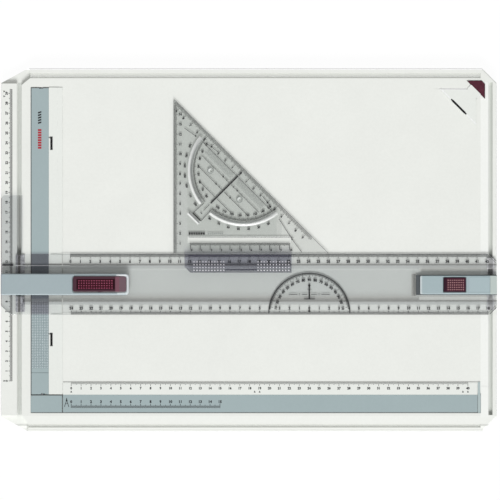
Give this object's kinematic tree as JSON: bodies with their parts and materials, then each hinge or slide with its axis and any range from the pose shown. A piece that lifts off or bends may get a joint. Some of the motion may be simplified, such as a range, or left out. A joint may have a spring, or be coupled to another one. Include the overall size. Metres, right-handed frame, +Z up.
{
  "type": "portable drawing board",
  "caption": "Flat portable drawing board with a sliding clear straightedge, a set square that runs on it, a rocking clamp rail and a corner clip.",
  "frame": {"origin": "centre of the board's outline, at the plane the feet stand on", "axes": "+X to the right along the straightedge, +Y away from the user, +Z up out of the drawing surface"},
  "size_m": [0.5, 0.366, 0.0272],
  "materials": {
    "board_plastic": "fine satin",
    "foot_rubber": "matte",
    "steel": "plain",
    "magnet": "plain",
    "rail_plastic": "fine satin",
    "end_cap_plastic": "fine satin",
    "black_plastic": "satin",
    "red_plastic": "satin",
    "clear_plastic": "polished, clear",
    "violet_plastic": "polished, translucent"
  },
  "bodies": {
    "board": {"base_shell": "board_plastic", "top_shell": "board_plastic", "rubber_feet": "foot_rubber", "shell_screws": "steel", "paper_stops": "black_plastic", "stop_rail": "rail_plastic", "scale_lip": "board_plastic", "rail_end_cap": "rail_plastic", "corner_cap": "rail_plastic", "clamp_magnets": "magnet", "clamp_pivot_pins": "steel", "corner_clip_pin": "steel", "corner_clip_spring": "steel"},
    "clamp_rocker": {"clamp_rail": "rail_plastic", "clamp_lip": "board_plastic", "clamp_keeper_strip": "steel"},
    "corner_clip": {"corner_clip_flap": "board_plastic", "corner_clip_bar": "black_plastic", "corner_clip_button": "red_plastic"},
    "straightedge": {"straightedge_blade": "clear_plastic", "guide_flange": "clear_plastic", "left_guide_shoes": "black_plastic", "right_guide_shoes": "black_plastic", "left_head_cover": "rail_plastic", "brake_pivot_pin": "steel", "brake_springs": "steel", "head_screws": "steel", "lock_tray": "black_plastic"},
    "brake_rocker": {"brake_button": "red_plastic"},
    "brake_slide": {"brake_rod": "steel", "brake_shoe": "black_plastic"},
    "lock_slide": {"lock_slider": "rail_plastic", "lock_end_cap": "end_cap_plastic", "lock_hook": "steel", "lock_button_spring": "steel"},
    "lock_button": {"lock_button": "red_plastic"},
    "set_square": {"set_square": "clear_plastic", "grip_clip": "violet_plastic", "clip_rivets": "steel"}
  },
  "joints": [
    {"name": "straightedge_slide", "type": "slide", "parent": "board", "child": "straightedge", "axis": [0, 1, 0], "range_m": [-0.105, 0.168]},
    {"name": "set_square_slide", "type": "slide", "parent": "straightedge", "child": "set_square", "axis": [1, 0, 0], "range_m": [-0.15, 0.16]},
    {"name": "clamp_tilt", "type": "hinge", "parent": "board", "child": "clamp_rocker", "pos_m": [-0.2085, 0, 0.015], "axis": [0, -1, 0], "range_deg": [0, 1.5], "stiffness_Nm_per_rad": 1, "springref_deg": -1.15},
    {"name": "corner_clip_tilt", "type": "hinge", "parent": "board", "child": "corner_clip", "pos_m": [0.22675, 0.15925, 0.015], "axis": [-0.7071, 0.7071, 0], "range_deg": [0, 1.5], "stiffness_Nm_per_rad": 0.2, "springref_deg": -1.15, "deforming": ["corner_clip_spring"]},
    {"name": "brake_tilt", "type": "hinge", "parent": "straightedge", "child": "brake_rocker", "pos_m": [-0.1503, -0.0346, 0.0246], "axis": [0, -1, 0], "range_deg": [0, 4], "stiffness_Nm_per_rad": 0.05, "deforming": ["brake_springs"]},
    {"name": "brake_rod_slide", "type": "slide", "parent": "straightedge", "child": "brake_slide", "axis": [1, 0, 0], "range_m": [0, 0.00023]},
    {"name": "lock_slide", "type": "slide", "parent": "straightedge", "child": "lock_slide", "axis": [-1, 0, 0], "range_m": [0, 0.0023]},
    {"name": "lock_press", "type": "slide", "parent": "lock_slide", "child": "lock_button", "axis": [0, 0, -1], "range_m": [0, 0.0009], "stiffness_N_per_m": 300, "deforming": ["lock_button_spring"]}
  ],
  "couplings": [
    {"joint": "brake_tilt", "follows": "brake_rod_slide", "rad_per_m": 303.03}
  ]
}
